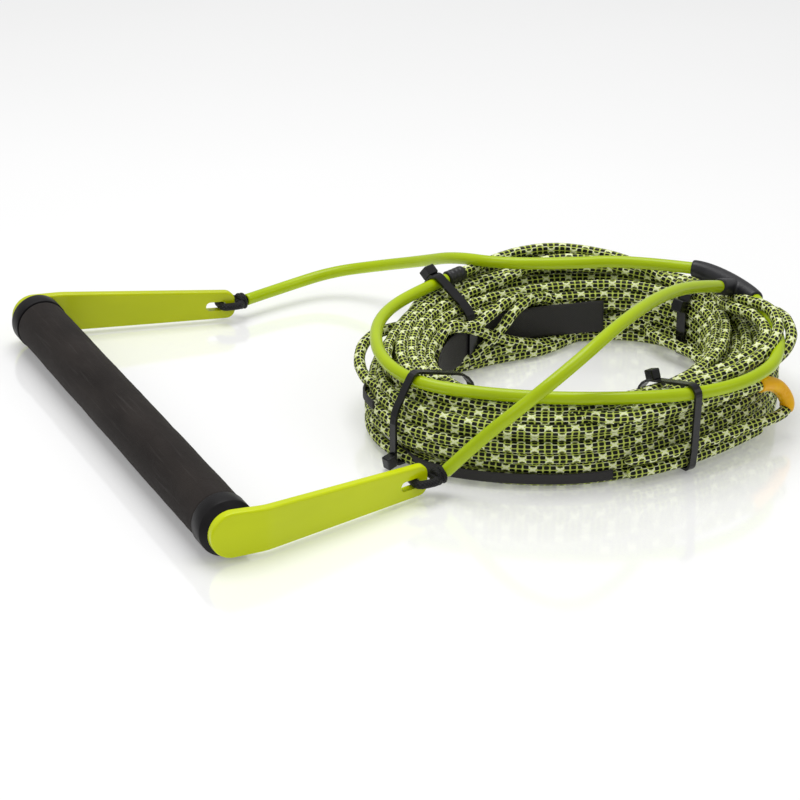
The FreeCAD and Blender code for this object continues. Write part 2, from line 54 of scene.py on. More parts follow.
# ---- Core tube, flotation plug and retaining pins ------------
# A drawn aluminium tube with a closed-cell foam plug inside it, which makes the
# handle float, and two steel pins that lock the arms' spigots in its ends.
class Finish:
    """A node material: node() adds a node and fills its sockets from values or other sockets."""

    def __init__(self, name, roughness, **sockets):
        self.material = bpy.data.materials.new(name)
        self.material.use_nodes = True
        self.tree = self.material.node_tree
        self.shader = self.tree.nodes["Principled BSDF"]
        self.shader.inputs["Roughness"].default_value = roughness
        for socket, value in sockets.items():
            self.shader.inputs[socket.replace("_", " ")].default_value = value

    def node(self, kind, fill=(), **settings):
        made = self.tree.nodes.new("ShaderNode" + kind)
        for setting, value in settings.items():
            setattr(made, setting, value)
        for socket, value in dict(fill).items():
            self.fill(made.inputs[socket], value)
        return made

    def fill(self, socket, value):
        if isinstance(value, bpy.types.NodeSocket):
            self.tree.links.new(value, socket)
        else:
            socket.default_value = value

    def maths(self, operation, a, b=0.0, c=0.0):
        return self.node("Math", {0: a, 1: b, 2: c}, operation=operation).outputs[0]

    def place(self, stretch=(1.0, 1.0, 1.0)):
        """Object coordinates, stretched."""
        spot = self.node("TexCoord").outputs["Object"]
        return self.node("Mapping", {"Vector": spot, "Scale": stretch}).outputs[0]

    def grain(self, scale, detail, where=None):
        """Noise, from 0 to 1."""
        fill = {"Vector": where or self.place(), "Scale": scale, "Detail": detail}
        return self.node("TexNoise", fill).outputs[0]

    def ramp(self, value, *stops):
        """A colour ramp from (position, colour) stops."""
        made = self.node("ValToRGB", {0: value})
        elements = made.color_ramp.elements
        while len(elements) < len(stops):
            elements.new(0.5)
        for element, (position, colour) in zip(elements, stops):
            element.position = position
            element.color = (*colour, 1.0)
        return made.outputs[0]

    def span(self, value, low, high, to_low=0.0, to_high=1.0):
        """A smooth step from one range of values to another."""
        return self.node("MapRange", {0: value, 1: low, 2: high, 3: to_low, 4: to_high},
                         interpolation_type="SMOOTHSTEP").outputs[0]

    def blend(self, share, a, b):
        """From colour a, at a share of 0, to colour b."""
        made = self.node("Mix", {0: share}, data_type="RGBA")
        for socket, value in ((made.inputs[6], a), (made.inputs[7], b)):
            self.fill(socket, value if isinstance(value, bpy.types.NodeSocket) else (*value, 1.0))
        return made.outputs[2]

    def colour(self, value):
        self.fill(self.shader.inputs["Base Color"], value)

    def gloss(self, value):
        self.fill(self.shader.inputs["Roughness"], value)

    def relief(self, height, depth):
        """Bump of a real depth in metres."""
        bump = self.node("Bump", {"Height": height, "Distance": depth, "Strength": 1.0})
        self.fill(self.shader.inputs["Normal"], bump.outputs[0])


def wear(node, finish):
    """Gives a CAD node its material."""
    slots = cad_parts[node].data.materials
    slots.clear()
    slots.append(finish.material)


drawn = Finish("drawn aluminium", 0.32, Metallic=1.0)
drawn_marks = drawn.grain(60.0, 3.0, drawn.place((12.0, 0.4, 12.0)))
drawn.colour(drawn.ramp(drawn_marks, (0.3, (0.62, 0.63, 0.65)), (0.7, (0.78, 0.79, 0.80))))
drawn.relief(drawn_marks, 0.00003)
wear("core_tube", drawn)

plug = Finish("closed-cell foam", 0.9)
cells = plug.node("TexVoronoi", {"Vector": plug.place(), "Scale": 900.0}).outputs[0]
plug.colour(plug.ramp(cells, (0.1, (0.72, 0.72, 0.70)), (0.6, (0.86, 0.86, 0.84))))
plug.relief(cells, 0.0002)
wear("flotation_core", plug)

pin_steel = Finish("pin steel", 0.25, Metallic=1.0)
pin_turning = pin_steel.grain(400.0, 2.0, pin_steel.place((1.0, 9.0, 9.0)))
pin_steel.colour(pin_steel.ramp(pin_turning, (0.3, (0.50, 0.50, 0.51)), (0.7, (0.66, 0.66, 0.67))))
wear("retaining_pins", pin_steel)


# ---- Grip sleeve ---------------------------------------------
# A ground EVA foam sleeve, slid over the tube with a lubricant. Its skin is matt
# and finely pitted, with faint lengthwise streaks of painted highlight.
bar_low, bar_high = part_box("grip")
bar_x, bar_z = (bar_low.x + bar_high.x) / 2, (bar_low.z + bar_high.z) / 2
tube_radius = (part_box("core_tube")[1].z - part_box("core_tube")[0].z) / 2


BAR_SIDES = 96
TUBE_CLEARANCE = 0.0002  # between the tube and what is pushed over it


def lathe(name, profile, ripple=None):
    """Turns (along, radius) pairs round the bar; ripple(along, angle) adds to the outside."""
    mesh = bmesh.new()
    rings = []
    for along, radius in profile:
        outside = radius > tube_radius * 1.1
        ring = []
        for k in range(BAR_SIDES):
            angle = 2 * math.pi * k / BAR_SIDES
            r = radius + (ripple(along, angle) if ripple and outside else 0.0)
            ring.append(mesh.verts.new((bar_x + r * math.sin(angle), along,
                                        bar_z + r * math.cos(angle))))
        rings.append(ring)
    for near, far in zip(rings, rings[1:] + rings[:1]):
        for k in range(BAR_SIDES):
            mesh.faces.new((near[k], far[k], far[k - 1], near[k - 1]))
    return finished(name, mesh)


def finished(name, mesh, smooth=True):
    """A new object from a bmesh, with its faces turned outwards."""
    bmesh.ops.recalc_face_normals(mesh, faces=mesh.faces)
    data = bpy.data.meshes.new(name)
    mesh.to_mesh(data)
    mesh.free()
    data.polygons.foreach_set("use_smooth", [smooth] * len(data.polygons))
    made = bpy.data.objects.new(name, data)
    scene.collection.objects.link(made)
    return made


def foam_skin(along, angle):
    """The sleeve's slow waves, and its grinding facets."""
    spot = Vector((math.cos(angle) * 0.6, math.sin(angle) * 0.6, along * 18))
    return 0.00022 * noise.noise(spot * 2.2) + 0.00009 * noise.noise(spot * 9.0)


GRIP_LIP = 0.0012  # the rounding of its two rims
GRIP_RINGS = 170
SKIN_ROOM = 0.0001  # the skin's waves stay inside the foam's own size
LIP_TURNS = [math.pi / 6, math.pi / 3, math.pi / 2]
grip_radius = (bar_high.z - bar_low.z) / 2 - SKIN_ROOM
grip_span = bar_high.y - bar_low.y - 2 * GRIP_LIP


def grip_rim(end, way, turns):
    """One rounded rim; way is 1 or -1, along the bar into the sleeve."""
    return [(end + way * GRIP_LIP * (1 - math.cos(t)), grip_radius - GRIP_LIP * (1 - math.sin(t)))
            for t in turns]


grip_profile = [(bar_low.y, tube_radius + TUBE_CLEARANCE), (bar_low.y, grip_radius - GRIP_LIP)]
grip_profile += grip_rim(bar_low.y, 1, LIP_TURNS)
grip_profile += [(bar_low.y + GRIP_LIP + k / GRIP_RINGS * grip_span, grip_radius)
                 for k in range(1, GRIP_RINGS)]
grip_profile += grip_rim(bar_high.y, -1, LIP_TURNS[::-1])
grip_profile += [(bar_high.y, grip_radius - GRIP_LIP), (bar_high.y, tube_radius + TUBE_CLEARANCE)]
grip_sleeve = lathe("grip_sleeve", grip_profile, foam_skin)

foam = Finish("ground foam", 0.86, Sheen_Weight=0.04, Sheen_Roughness=0.5, Specular_IOR_Level=0.15)
foam_mottle = foam.grain(55.0, 4.0, foam.place((1.0, 0.35, 1.0)))
foam_pits = foam.node("TexVoronoi", {"Vector": foam.place(), "Scale": 1500.0}).outputs[0]
# Lighter lengthwise streaks blended over the foam's tone are painted highlight along the sleeve.
foam_highlight_streaks = foam.grain(220.0, 3.0, foam.place((3.0, 0.12, 3.0)))
foam_tone = foam.ramp(foam_mottle, (0.25, (0.013, 0.010, 0.009)), (0.75, (0.032, 0.026, 0.023)))
foam_painted_highlight = foam.span(foam_highlight_streaks, 0.55, 0.8, 0.0, 0.5)
foam.colour(foam.blend(foam_painted_highlight, foam_tone, (0.055, 0.050, 0.047)))
foam_height = foam.maths("ADD", foam.maths("MULTIPLY", foam_pits, 0.6), foam.grain(2600.0, 3.0))
foam.relief(foam_height, 0.00022)
grip_sleeve.data.materials.append(foam.material)
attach(grip_sleeve, "handle")
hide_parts("grip")


# ---- Collars -------------------------------------------------
# Smooth rubber rings, pushed on at each end of the sleeve, with a chamfered rim
# towards the arm. They are stretched over the tube and held by their own grip.
COLLAR_EDGE = 0.0004  # the rounding of its corners
COLLAR_CHAMFER = 0.0035
INSET = 0.00005  # how far a skin stays inside the solid it stands for
rubber = Finish("collar rubber", 0.4, Specular_IOR_Level=0.14)
rubber_bloom = rubber.grain(90.0, 3.0)
rubber.colour(rubber.ramp(rubber_bloom, (0.3, (0.005, 0.0045, 0.005)),
                          (0.7, (0.012, 0.011, 0.012))))
rubber.gloss(rubber.span(rubber_bloom, 0.3, 0.7, 0.36, 0.5))
rubber.relief(rubber.grain(1200.0, 2.0), 0.00005)
for side, node in ((-1, "collar_near"), (1, "collar_far")):
    low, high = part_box(node)
    inner_y, rim_y = (low.y, high.y) if side > 0 else (high.y, low.y)
    collar_radius = (high.z - low.z) / 2 - INSET
    face = collar_radius - COLLAR_CHAMFER
    profile = [
        (inner_y, tube_radius + TUBE_CLEARANCE), (inner_y, collar_radius - COLLAR_EDGE),
        (inner_y + side * COLLAR_EDGE * 0.3, collar_radius - COLLAR_EDGE * 0.3),
        (inner_y + side * COLLAR_EDGE, collar_radius),
        (rim_y - side * (COLLAR_CHAMFER + COLLAR_EDGE), collar_radius),
        (rim_y - side * COLLAR_CHAMFER, collar_radius - COLLAR_EDGE * 0.25),
        (rim_y - side * (COLLAR_CHAMFER - COLLAR_EDGE), collar_radius - COLLAR_EDGE),
        (rim_y - side * COLLAR_EDGE, face + COLLAR_EDGE),
        (rim_y - side * COLLAR_EDGE * 0.3, face + COLLAR_EDGE * 0.3),
        (rim_y, face - COLLAR_EDGE), (rim_y, tube_radius + TUBE_CLEARANCE),
    ]
    collar = lathe("end_" + node, profile)
    collar.data.materials.append(rubber.material)
    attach(collar, "handle")
    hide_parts(node)


# ---- Arms ----------------------------------------------------
# Injection-moulded nylon blades, on edge, that spread the bridle and keep it off
# the rider's hands. The mould was polished, so they are glossy.
def moulded(name, low, high):
    """Polished nylon, with the faint cloudiness and ripple of a moulding."""
    finish = Finish(name, 0.16, Specular_IOR_Level=0.22, Coat_Weight=0.12, Coat_Roughness=0.06)
    flow = finish.grain(26.0, 2.0, finish.place((0.6, 1.0, 1.6)))
    finish.colour(finish.ramp(flow, (0.3, low), (0.7, high)))
    finish.gloss(finish.span(finish.grain(300.0, 3.0), 0.3, 0.7, 0.13, 0.21))
    finish.relief(finish.grain(48.0, 1.0), 0.00025)
    return finish


# The two arms are the same moulding. The far arm's copy of the lime is painted darker, as painted
# shade.
near_plastic = moulded("lime moulding near", (0.60, 0.70, 0.0), (0.66, 0.76, 0.0))
far_plastic_painted_shade = moulded("lime moulding far painted shade", (0.50, 0.57, 0.0), (0.57, 0.64, 0.0))
wear("arm_near", near_plastic)
wear("arm_far", far_plastic_painted_shade)


# ---- Lashings ------------------------------------------------
# Loops of the legs' own braided core rope, black polyethylene: through each arm's
# slot, round its tip, and hitched where they meet the green sheath.
def length_along(line):
    """The distance down a line at each of its points."""
    steps = np.linalg.norm(np.diff(line, axis=0), axis=1)
    return np.concatenate([[0.0], np.cumsum(steps)])


def points_at(line, distances):
    """The points at some distances down a line."""
    along = length_along(line)
    return np.stack([np.interp(distances, along, line[:, k]) for k in range(3)], axis=1)


def carried_frames(line, closed=False):
    """A sideways and an upward direction at each point, carried along without twist."""
    ahead = np.roll(line, -1, 0) - np.roll(line, 1, 0) if closed else np.gradient(line, axis=0)
    ahead /= np.linalg.norm(ahead, axis=1)[:, None]
    side = np.cross(ahead[0], (0.0, 0.0, 1.0))
    if np.linalg.norm(side) < 0.1:
        side = np.cross(ahead[0], (0.0, 1.0, 0.0))
    sides = []
    for direction in ahead:
        side = side - direction * (side @ direction)
        side /= np.linalg.norm(side)
        sides.append(side)
    sides = np.array(sides)
    if closed:
        last, first = sides[-1], sides[0]
        drift = math.atan2(np.cross(last, first) @ ahead[0], last @ first)
        turn = drift * np.arange(len(line)) / len(line)
        ups = np.cross(ahead, sides)
        sides = sides * np.cos(turn)[:, None] + ups * np.sin(turn)[:, None]
    return sides, np.cross(ahead, sides)


def rope_mesh(name, line, radius, sides, relief, pitch, ends=0.0, closed=False):
    """A tube with rings at the line's own points; its UV map runs in pitches along, turns round.

    relief(turns along, turns round) is a share of the radius, and ends is how far the end
    faces are rounded.
    """
    line = np.asarray(line, float)
    along = length_along(line)
    across, up = carried_frames(line, closed)
    turn = np.arange(sides) / sides
    swell = 1 + relief(along[:, None] / pitch, turn[None, :])
    radii = np.full(len(line), radius)
    if ends and not closed:
        to_end = np.minimum(along, along[-1] - along)
        radii = radius * np.sqrt(np.clip(1 - (1 - np.clip(to_end / ends, 0.08, 1)) ** 2, 0, 1))
    out = (np.cos(2 * np.pi * turn)[None, :, None] * across[:, None]
           + np.sin(2 * np.pi * turn)[None, :, None] * up[:, None])
    points = line[:, None] + out * (radii[:, None] * swell)[:, :, None]
    rings = len(line)
    data = bpy.data.meshes.new(name)
    grid = np.arange(rings * sides).reshape(rings, sides)
    here = grid if closed else grid[:-1]
    after = np.roll(grid, -1, 0) if closed else grid[1:]
    quads = np.stack([here, np.roll(here, -1, 1), np.roll(after, -1, 1), after], -1)
    faces = quads.reshape(-1, 4).tolist()
    if not closed:
        faces += [grid[0][::-1].tolist(), grid[-1].tolist()]
    data.from_pydata(points.reshape(-1, 3).tolist(), [], faces)
    count = len(here)
    v0 = np.broadcast_to(turn[None, :], (count, sides))
    v1 = v0 + 1 / sides
    u0 = np.broadcast_to((along[:count] / pitch)[:, None], (count, sides))
    next_u = np.append(along[1:], along[-1] * 2 - along[-2])[:count] / pitch
    u1 = np.broadcast_to(next_u[:, None], (count, sides))
    spots = np.stack([np.stack([u0, v0], -1), np.stack([u0, v1], -1),
                      np.stack([u1, v1], -1), np.stack([u1, v0], -1)], 2).reshape(-1, 2)
    layer = data.uv_layers.new(name="braid")
    flat_spots = np.zeros((len(data.loops), 2), np.float32)
    flat_spots[:len(spots)] = spots
    if not closed:
        flat_spots[len(spots):len(spots) + sides, 1] = turn[::-1]
        flat_spots[len(spots) + sides:, 1] = turn
        flat_spots[len(spots) + sides:, 0] = along[-1] / pitch
    layer.data.foreach_set("uv", flat_spots.ravel())
    data.polygons.foreach_set("use_smooth", [True] * len(data.polygons))
    data.validate()
    made = bpy.data.objects.new(name, data)
    scene.collection.objects.link(made)
    return made


def smooth_line(name, route, resolution):
    """A cord's own line: points down one NURBS spline, with the route as its control points."""
    curve = bpy.data.curves.new(name, "CURVE")
    curve.dimensions = "3D"
    spline = curve.splines.new("NURBS")
    spline.points.add(len(route) - 1)
    for point, place in zip(spline.points, route):
        point.co = (*place, 1.0)
    spline.order_u = 3
    spline.use_endpoint_u = True
    spline.resolution_u = resolution
    bare = bpy.data.objects.new(name, curve)
    mesh = bpy.data.meshes.new_from_object(bare)
    line = np.array([v.co for v in mesh.vertices], float)
    bpy.data.meshes.remove(mesh)
    bpy.data.objects.remove(bare)
    bpy.data.curves.remove(curve)
    keep = np.concatenate([[True], np.linalg.norm(np.diff(line, axis=0), axis=1) > 1e-6])
    return line[keep]


CORE_PITCH = 0.013  # one turn of a core strand
CORE_RADIUS = 0.0023
CORE_STRANDS = 8  # to each hand


def core_strands(along, turns):
    """Sixteen strands that cross over and under each other."""
    left, right = (np.cos(2 * np.pi * CORE_STRANDS * (turns + hand * along)) for hand in (-1, 1))
    return 0.035 * (left * right) - 0.01


core_black = Finish("black core rope", 0.55, Specular_IOR_Level=0.3)
core_uv = core_black.node("SeparateXYZ", {0: core_black.node("UVMap", uv_map="braid").outputs[0]})


def core_ridges(hand):
    """The strands that wind to one hand, as ridges from 0 to 1."""
    wound = core_black.maths(hand, core_uv.outputs[1], core_uv.outputs[0])
    wave = core_black.maths("SINE", core_black.maths("MULTIPLY", wound, math.pi * CORE_STRANDS))
    return core_black.maths("ABSOLUTE", wave)


core_weave = core_black.maths("MULTIPLY", core_ridges("SUBTRACT"), core_ridges("ADD"))
core_black.colour(core_black.ramp(core_weave, (0.1, (0.002, 0.002, 0.003)),
                                  (0.8, (0.014, 0.013, 0.015))))
core_black.relief(core_weave, 0.0003)

SWING = (0.05905, 0.0108)  # the arms' swing line, x and z
LASHING_BEND = 0.0032  # the loop's bends, to the rope's middle
SLOT_LEAN = 0.0016  # how far its inner run leans towards the slot


def lashing_loop(side, which):
    """One closed loop: through the slot, along the arm's outside and round past the tip."""
    low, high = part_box(f"lashing_{which}")
    outer = (high.y if side > 0 else -low.y) - CORE_RADIUS
    inner = (low.y if side > 0 else -high.y) + CORE_RADIUS
    end = high.x - CORE_RADIUS
    corners = [(SWING[0], outer), (end, outer), (end, inner), (SWING[0], inner + SLOT_LEAN)]
    points = []
    for index, (x, y) in enumerate(corners):
        before, after = Vector(corners[index - 1]), Vector(corners[(index + 1) % 4])
        here = Vector((x, y))
        to_before, to_after = (before - here).normalized(), (after - here).normalized()
        half = to_before.angle(to_after) / 2
        reach = LASHING_BEND / math.tan(half)
        centre = here + (to_before + to_after).normalized() * (LASHING_BEND / math.sin(half))
        first, last = here + to_before * reach, here + to_after * reach
        start = math.atan2(first.y - centre.y, first.x - centre.x)
        sweep = math.atan2(last.y - centre.y, last.x - centre.x) - start
        sweep = (sweep + math.pi) % (2 * math.pi) - math.pi
        for step in range(9):
            turn = start + sweep * step / 8
            points.append((centre.x + LASHING_BEND * math.cos(turn),
                           side * (centre.y + LASHING_BEND * math.sin(turn)), SWING[1]))
    return points


def evenly(points, step, closed=False):
    """The same line with points a step apart."""
    line = np.array(points, float)
    if closed:
        line = np.vstack([line, line[:1]])
    length = length_along(line)[-1]
    distances = np.linspace(0, length, max(4, int(round(length / step))) + 1)
    return points_at(line, distances[:-1] if closed else distances)


for side, which in ((1, "far"), (-1, "near")):
    loop = evenly(lashing_loop(side, which), 0.00045, closed=True)
    lashing = rope_mesh(f"lashing_loop_{which}", loop, CORE_RADIUS - INSET, 32, core_strands,
                        CORE_PITCH, closed=True)
    lashing.data.materials.append(core_black.material)
    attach(lashing, "line_set")
    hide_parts(f"lashing_{which}")


# ---- Bridle legs ---------------------------------------------
# Black braided core rope, threaded through extruded polyurethane tube, which keeps
# the bridle stiff and open. The tube is cut square and its ends show the core.
SHEATH_RADIUS = 0.0035
SHEATH_BORE = 0.0024
SHEATH_LIP = 0.00035  # the rounding of its cut ends
BORE_DEPTH = 0.006  # how deep the open ends are made
COIL = (0.187, -0.063)  # the middle of the coil


def on_coil(bearing, radius, height):
    """A point by its bearing and distance, in mm, from the coil's middle."""
    angle = math.radians(bearing)
    return (COIL[0] + radius / 1000 * math.cos(angle), COIL[1] + radius / 1000 * math.sin(angle),
            height / 1000)


ON_TOP = 46.8  # height of a sheathed cord's middle on the coil
FAR_LEG = [
    (0.076, 0.134, 0.0108), (0.106, 0.142, 0.0115), (0.138, 0.144, 0.015), (0.162, 0.122, 0.023),
    (0.173, 0.088, 0.036), (0.176, 0.052, 0.051), (0.190, 0.021, 0.0555), (0.224, 0.004, 0.0555),
    (0.260, -0.007, 0.0555), (0.2945, -0.036, 0.054),
]
NEAR_LEG = [
    (0.0775, -0.1343, 0.0126), (0.091, -0.146, 0.033), (0.111, -0.160, 0.056),
    (0.142, -0.158, 0.073), (0.181, -0.136, 0.080), (0.222, -0.107, 0.077),
    (0.259, -0.083, 0.0675), (0.2885, -0.068, 0.056),
]
LEADER = [
    (0.301, -0.076, 0.052), on_coil(-23, 119, 49.0), on_coil(-44, 122, 45.5),
    on_coil(-60, 118, 45.5), on_coil(-76, 111, 46.3), on_coil(-93, 100.5, ON_TOP),
    on_coil(-111, 94.5, ON_TOP), on_coil(-129, 95, ON_TOP), on_coil(-147, 101, ON_TOP),
    on_coil(-162, 110.5, ON_TOP), on_coil(-178, 111.5, ON_TOP), on_coil(164, 107.5, ON_TOP),
    on_coil(144, 104.5, ON_TOP), on_coil(124, 98.5, ON_TOP + 0.7),
    on_coil(107, 95.5, ON_TOP + 1.3),
]


sheath_lime = Finish("lime polyurethane", 0.24, Specular_IOR_Level=0.3)
sheath_clouds = sheath_lime.grain(38.0, 3.0)
sheath_lime.colour(sheath_lime.ramp(sheath_clouds, (0.25, (0.40, 0.54, 0.0)),
                                    (0.75, (0.45, 0.60, 0.001))))
sheath_lime.gloss(sheath_lime.span(sheath_clouds, 0.3, 0.7, 0.20, 0.27))
sheath_lime.relief(sheath_lime.grain(30.0, 1.0), 0.0001)


def ring_round(mesh, centre, across, up, radius, sides=28):
    """A ring of new vertices round a point."""
    turns = [2 * math.pi * k / sides for k in range(sides)]
    return [mesh.verts.new(centre + (across * math.cos(t) + up * math.sin(t)) * radius)
            for t in turns]


def skin_over(mesh, rings):
    """Faces from each ring to the next, and one over each end."""
    for near, far in zip(rings, rings[1:]):
        for k in range(len(near)):
            mesh.faces.new((near[k - 1], near[k], far[k], far[k - 1]))
    mesh.faces.new(rings[0])
    mesh.faces.new(rings[-1][::-1])


def sheath_mesh(name, line):
    """An extruded tube with square-cut, lipped ends and a bore that shows the core."""
    across, up = carried_frames(line)
    mesh = bmesh.new()

    def ring(index, radius, shift=0.0):
        direction = line[1] - line[0] if index == 0 else line[-1] - line[-2]
        centre = line[index] + direction / np.linalg.norm(direction) * shift
        return ring_round(mesh, centre, across[index], up[index], radius)

    rings = [ring(0, SHEATH_BORE, BORE_DEPTH), ring(0, SHEATH_BORE),
             ring(0, SHEATH_RADIUS - SHEATH_LIP), ring(0, SHEATH_RADIUS, SHEATH_LIP)]
    for index in range(1, len(line) - 1):
        wobble = 1 + 0.008 * noise.noise(Vector(line[index]) * 40)
        rings.append(ring(index, SHEATH_RADIUS * wobble))
    rings += [ring(-1, SHEATH_RADIUS, -SHEATH_LIP), ring(-1, SHEATH_RADIUS - SHEATH_LIP),
              ring(-1, SHEATH_BORE), ring(-1, SHEATH_BORE, -BORE_DEPTH)]
    skin_over(mesh, rings)
    return finished(name, mesh)


def sheathed_cord(name, route, jacket, core):
    """One cord of the bridle or the leader: its tube, and the core rope inside it."""
    line = smooth_line(name, route, 24)
    sheath = sheath_mesh(name, line)
    sheath.data.materials.append(sheath_lime.material)
    whole = length_along(line)[-1]
    step = 0.0005
    rope = rope_mesh(name + "_core", points_at(line, np.arange(step, whole - step, step)),
                     CORE_RADIUS - INSET, 32, core_strands, CORE_PITCH)
    rope.data.materials.append(core_black.material)
    for piece, node, finish in ((sheath, jacket, "green_sheath"), (rope, core, "core_rope")):
        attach(piece, "line_set")
        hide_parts(node)
    return line


far_line = sheathed_cord("bridle_leg_far", FAR_LEG, "leg_jacket_far", "leg_core_far")
near_line = sheathed_cord("bridle_leg_near", NEAR_LEG, "leg_jacket_near", "leg_core_near")

HITCH_TURNS, HITCH_STEPS = 2, 63
HITCH_COIL, HITCH_ROPE = 0.0034, 0.00165  # radius of the turns, and of the pulled-thin rope
HITCH_GAP = 0.0012  # how far the knot stops short of the sheath
for side, which, line in ((1, "far", far_line), (-1, "near", near_line)):
    start = Vector(line[0])
    way = (Vector(line[1]) - start).normalized()
    lash_end = Vector((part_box(f"lashing_{which}")[1].x - CORE_RADIUS, start.y, SWING[1]))
    wraps = []
    for step in range(HITCH_STEPS + 1):
        turn = 2 * math.pi * HITCH_TURNS * step / HITCH_STEPS
        middle = lash_end.lerp(start - way * HITCH_GAP, step / HITCH_STEPS)
        wraps.append(middle + Vector((0.0, math.cos(turn), math.sin(turn))) * HITCH_COIL)
    hitch = rope_mesh(f"hitch_{which}", evenly(wraps, 0.0004), HITCH_ROPE, 20, core_strands,
                      CORE_PITCH, ends=0.0016)
    hitch.data.materials.append(core_black.material)
    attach(hitch, "line_set")


# ---- Leader --------------------------------------------------
# The third sheathed cord, the same extruded tube over the same core. It leaves the
# yoke, drops over the coil's edge and lies along the coil's top under the ties.
leader_line = sheathed_cord("tow_leader", LEADER, "leader_jacket", "leader_core")


# ---- Yoke ----------------------------------------------------
# A satin black rubber sleeve, moulded over the place where the two legs are spliced
# to the leader. The far leg goes in at its back, and the near leg at its side.
def swept(mesh, points, radii):
    """A closed solid along points, with a radius at each."""
    line = np.array(points, float)
    across, up = carried_frames(line)
    skin_over(mesh, [ring_round(mesh, *spot) for spot in zip(line, across, up, radii)])


def past_end(line, distance):
    """A point straight on past a cord's end; a negative distance is back along it."""
    way = (line[-1] - line[-2]) / np.linalg.norm(line[-1] - line[-2])
    return Vector(line[-1] + way * distance)


YOKE_SOCKET = 0.007  # how far each cord goes into the sleeve
YOKE_BEND, YOKE_FORK = 0.00385, 0.011  # how far on the body bends, and the fork ends
YOKE_RINGS, FORK_RINGS = 25, 12
leader_back = leader_line[::-1]
back_mouth, bend = past_end(far_line, -YOKE_SOCKET), past_end(far_line, YOKE_BEND)
side_mouth, fork_end = past_end(near_line, -YOKE_SOCKET), past_end(near_line, YOKE_FORK)
leader_end, front_mouth = Vector(leader_line[0]), past_end(leader_back, -YOKE_SOCKET)
body, body_radii = [], []
for t in np.linspace(0, 1, YOKE_RINGS):
    a, b, c = back_mouth.lerp(bend, t), bend.lerp(leader_end, t), leader_end.lerp(front_mouth, t)
    body.append(a.lerp(b, t).lerp(b.lerp(c, t), t))
    body_radii.append(0.0049 + 0.0011 * math.sin(math.pi * t))
fork = [side_mouth.lerp(fork_end, t) for t in np.linspace(0, 1, FORK_RINGS)]
yoke_mesh = bmesh.new()
swept(yoke_mesh, body, body_radii)
swept(yoke_mesh, fork, np.linspace(0.0048, 0.0052, FORK_RINGS))
yoke_sleeve = finished("yoke_sleeve", yoke_mesh)
remesh = yoke_sleeve.modifiers.new("one skin", "REMESH")
remesh.mode = "VOXEL"
remesh.voxel_size = 0.00045
soften = yoke_sleeve.modifiers.new("moulded fillets", "SMOOTH")
soften.factor, soften.iterations = 0.8, 14
yoke_drawn = yoke_sleeve.evaluated_get(bpy.context.evaluated_depsgraph_get())
solid = bpy.data.meshes.new_from_object(yoke_drawn)
yoke_sleeve.modifiers.clear()
yoke_sleeve.data = solid
yoke_sleeve.data.polygons.foreach_set("use_smooth", [True] * len(solid.polygons))
satin = Finish("satin yoke rubber", 0.38, Specular_IOR_Level=0.35)
satin_mottle = satin.grain(130.0, 3.0)
satin.colour(satin.ramp(satin_mottle, (0.3, (0.010, 0.010, 0.012)), (0.7, (0.022, 0.022, 0.025))))
satin.gloss(satin.span(satin_mottle, 0.3, 0.7, 0.32, 0.46))
satin.relief(satin.grain(1400.0, 2.0), 0.00006)
yoke_sleeve.data.materials.clear()
yoke_sleeve.data.materials.append(satin.material)
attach(yoke_sleeve, "line_set")
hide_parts("yoke")


# ---- Leader whipping -----------------------------------------
# Black tape wound tightly over the splice between the leader's core and the line,
# each wrap half over the last, so that the tucked strands can't work loose.
WHIP_LENGTH, WHIP_RADIUS = 0.014, 0.0045
TAPE_PITCH = 0.0032
whip_way = (Vector(leader_line[-1]) - Vector(leader_line[-2])).normalized()
whip_points = [Vector(leader_line[-1]) + whip_way * d for d in np.linspace(0, WHIP_LENGTH, 57)]


def tape_edges(along, turns):
    """Each wrap lies half over the last, so the radius steps along a helix."""
    step = (along + turns) % 1.0
    return -0.09 * step ** 3


whipping = rope_mesh("whipping_tape", whip_points, WHIP_RADIUS, 32, tape_edges, TAPE_PITCH,
                     ends=0.0012)
tape = Finish("whipping tape", 0.34, Specular_IOR_Level=0.5)
tape_wrinkle = tape.grain(500.0, 3.0, tape.place((1.0, 3.0, 1.0)))
tape.colour(tape.ramp(tape_wrinkle, (0.3, (0.008, 0.008, 0.009)), (0.7, (0.020, 0.020, 0.022))))
tape.relief(tape_wrinkle, 0.0001)
whipping.data.materials.append(tape.material)
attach(whipping, "line_set")
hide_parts("leader_whipping")


# ---- Main line -----------------------------------------------
# Sixteen-strand braided polyester, lime with black dashes and pale tracer strands that
# cross in X marks. It is hand wound: near-level turns that wander, cross and fan out.
LINE_RADIUS = 0.0033
BRAID_PITCH = 0.028  # one turn of a strand round the line
TURNS = 32
STATIONS = 24  # control points in each turn
# The coil's inner and outer radius in mm, every 20 degrees from a bearing of -180.
COIL_WALLS = [
    (72, 121), (72, 121), (73, 113), (74, 107), (71, 102), (69, 99), (69, 104), (72, 116),
    (79, 124), (92, 128), (102, 130), (97, 127), (83, 125), (76, 119), (72, 110), (70, 104),
    (70, 103), (71, 110),
]


def coil_wall(side, bearing):
    """The coil's inner (0) or outer (1) radius on a bearing."""
    count = len(COIL_WALLS)
    place = (bearing + 180) / 360 * count
    first = math.floor(place)
    t = place - first
    a, b, c, d = (COIL_WALLS[(first + k) % count][side] for k in (-1, 0, 1, 2))
    return b + t * ((c - a) + t * ((2 * a - 5 * b + 4 * c - d) + t * (3 * b - a - 3 * c + d))) / 2


